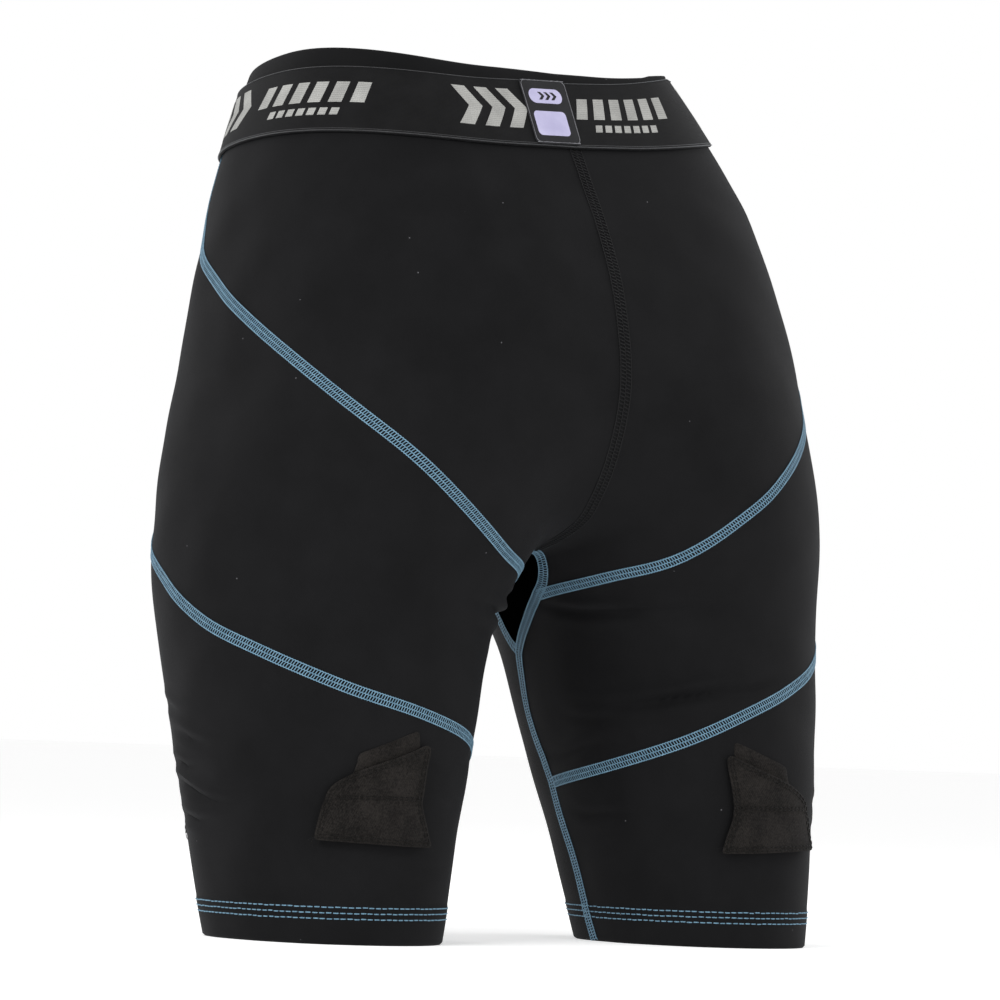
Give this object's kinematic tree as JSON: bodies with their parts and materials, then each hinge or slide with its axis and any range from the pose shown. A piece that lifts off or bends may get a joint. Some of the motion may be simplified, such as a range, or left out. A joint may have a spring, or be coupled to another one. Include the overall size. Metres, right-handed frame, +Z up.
{
  "type": "padded compression shorts",
  "caption": "Black compression shorts with wide waist elastic, diagonal flatlock seams, hook tabs for socks on the thighs, and a pelvic protector in a front pocket.",
  "frame": {"origin": "middle of the bounding box, on the plane of the hem edges", "axes": "+X to the wearer's left, -Y to the front, +Z up along the legs to the waist"},
  "size_m": [0.4036, 0.2382, 0.4852],
  "materials": {
    "stretch_fabric": "matt black nylon stretch knit",
    "lining_mesh": "fine black mesh knit",
    "blue_thread": "steel blue flatlock thread",
    "black_thread": "black flatlock thread",
    "elastic": "ribbed black woven elastic with grey motif",
    "soft_elastic": "smooth brushed black elastic",
    "label": "black woven label with pale print",
    "tab_webbing": "brownish black woven webbing",
    "hook_strip": "black hook tape",
    "shell_plastic": "satin black plastic",
    "foam": "closed-cell foam"
  },
  "bodies": {
    "shorts": {"seat_panel_left": "stretch_fabric", "seat_panel_right": "stretch_fabric", "wrap_panel_left": "stretch_fabric", "wrap_panel_right": "stretch_fabric", "leg_panel_left": "stretch_fabric", "leg_panel_right": "stretch_fabric", "front_pouch_panel": "stretch_fabric", "crotch_gusset": "stretch_fabric", "hem_fold_left": "stretch_fabric", "hem_fold_right": "stretch_fabric", "hem_stitching_left": "blue_thread", "hem_stitching_right": "blue_thread", "center_back_seam": "black_thread", "upper_seam_left": "blue_thread", "upper_seam_right": "blue_thread", "lower_seam_left": "blue_thread", "lower_seam_right": "blue_thread", "inseam_left": "blue_thread", "inseam_right": "blue_thread", "gusset_seam_left": "blue_thread", "gusset_seam_right": "blue_thread", "pouch_seam_left": "blue_thread", "pouch_seam_right": "blue_thread", "waist_elastic": "elastic", "inner_waistband": "soft_elastic", "waist_label": "label", "pocket_lining": "lining_mesh", "pocket_binding": "soft_elastic", "rear_tab_base_left": "tab_webbing", "rear_tab_base_right": "tab_webbing", "rear_tab_face_left": "tab_webbing", "rear_tab_face_right": "tab_webbing", "front_tab_base_left": "tab_webbing", "front_tab_base_right": "tab_webbing", "front_tab_face_left": "tab_webbing", "front_tab_face_right": "tab_webbing"},
    "protector": {"protector_shell": "shell_plastic", "protector_pad": "foam", "protector_rim": "foam"},
    "rear_flap_left": {"rear_tab_flap_left": "tab_webbing", "rear_tab_hook_left": "hook_strip"},
    "rear_flap_right": {"rear_tab_flap_right": "tab_webbing", "rear_tab_hook_right": "hook_strip"},
    "front_flap_left": {"front_tab_flap_left": "tab_webbing", "front_tab_hook_left": "hook_strip"},
    "front_flap_right": {"front_tab_flap_right": "tab_webbing", "front_tab_hook_right": "hook_strip"}
  },
  "joints": [
    {"name": "rear_flap_left_fold", "type": "hinge", "parent": "shorts", "child": "rear_flap_left", "pos_m": [0.13481, 0.10037, 0.07413], "axis": [0.987, -0.1607, 0], "range_deg": [0, 140]},
    {"name": "rear_flap_right_fold", "type": "hinge", "parent": "shorts", "child": "rear_flap_right", "pos_m": [-0.12317, 0.10141, 0.07411], "axis": [0.9997, 0.0233, 0], "range_deg": [0, 140]},
    {"name": "front_flap_left_fold", "type": "hinge", "parent": "shorts", "child": "front_flap_left", "pos_m": [0.13356, -0.0584, 0.07295], "axis": [-0.9911, -0.1334, 0], "range_deg": [0, 140]},
    {"name": "front_flap_right_fold", "type": "hinge", "parent": "shorts", "child": "front_flap_right", "pos_m": [-0.13356, -0.0584, 0.07295], "axis": [-0.9911, 0.1334, 0], "range_deg": [0, 140]},
    {"name": "protector_slide", "type": "slide", "parent": "shorts", "child": "protector", "axis": [0, 0, 1], "range_m": [0, 0.24]}
  ]
}
